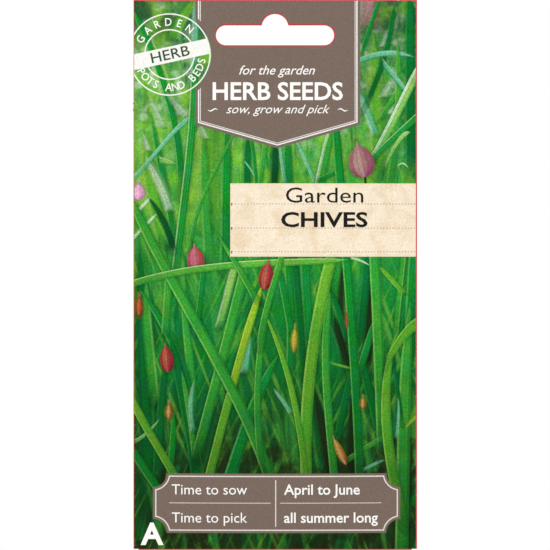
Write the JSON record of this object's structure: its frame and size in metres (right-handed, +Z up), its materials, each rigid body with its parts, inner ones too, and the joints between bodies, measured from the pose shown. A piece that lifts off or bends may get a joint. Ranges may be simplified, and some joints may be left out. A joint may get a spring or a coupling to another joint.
{
  "type": "seed packet",
  "caption": "Flat paper seed packet with a punched hang slot, a folded side and bottom, an inner glassine sachet and loose seeds",
  "frame": {"origin": "top of the hang slot, where the hook bears, halfway through the header's thickness", "axes": "+Z up along the packet's height, -Y out of the printed front, +X to the right seen from the front"},
  "size_m": [0.0826, 0.0047, 0.1601],
  "materials": {
    "printed_paper": "satin",
    "glue": "satin",
    "glassine": "satin",
    "seed": "matte"
  },
  "bodies": {
    "root": {"envelope": "printed_paper", "header_glue": "glue", "seam_glue": "glue", "bottom_flap_glue": "glue", "inner_sachet": "glassine", "seed_01": "seed", "seed_02": "seed", "seed_03": "seed", "seed_04": "seed", "seed_05": "seed", "seed_06": "seed", "seed_07": "seed", "seed_08": "seed", "seed_09": "seed", "seed_10": "seed", "seed_11": "seed", "seed_12": "seed", "seed_13": "seed", "seed_14": "seed", "seed_15": "seed", "seed_16": "seed", "seed_17": "seed", "seed_18": "seed", "seed_19": "seed", "seed_20": "seed", "seed_21": "seed", "seed_22": "seed", "seed_23": "seed", "seed_24": "seed", "seed_25": "seed", "seed_26": "seed", "seed_27": "seed", "seed_28": "seed", "seed_29": "seed", "seed_30": "seed", "seed_31": "seed", "seed_32": "seed", "seed_33": "seed", "seed_34": "seed", "seed_35": "seed", "seed_36": "seed", "seed_37": "seed", "seed_38": "seed", "seed_39": "seed", "seed_40": "seed"}
  },
  "joints": []
}
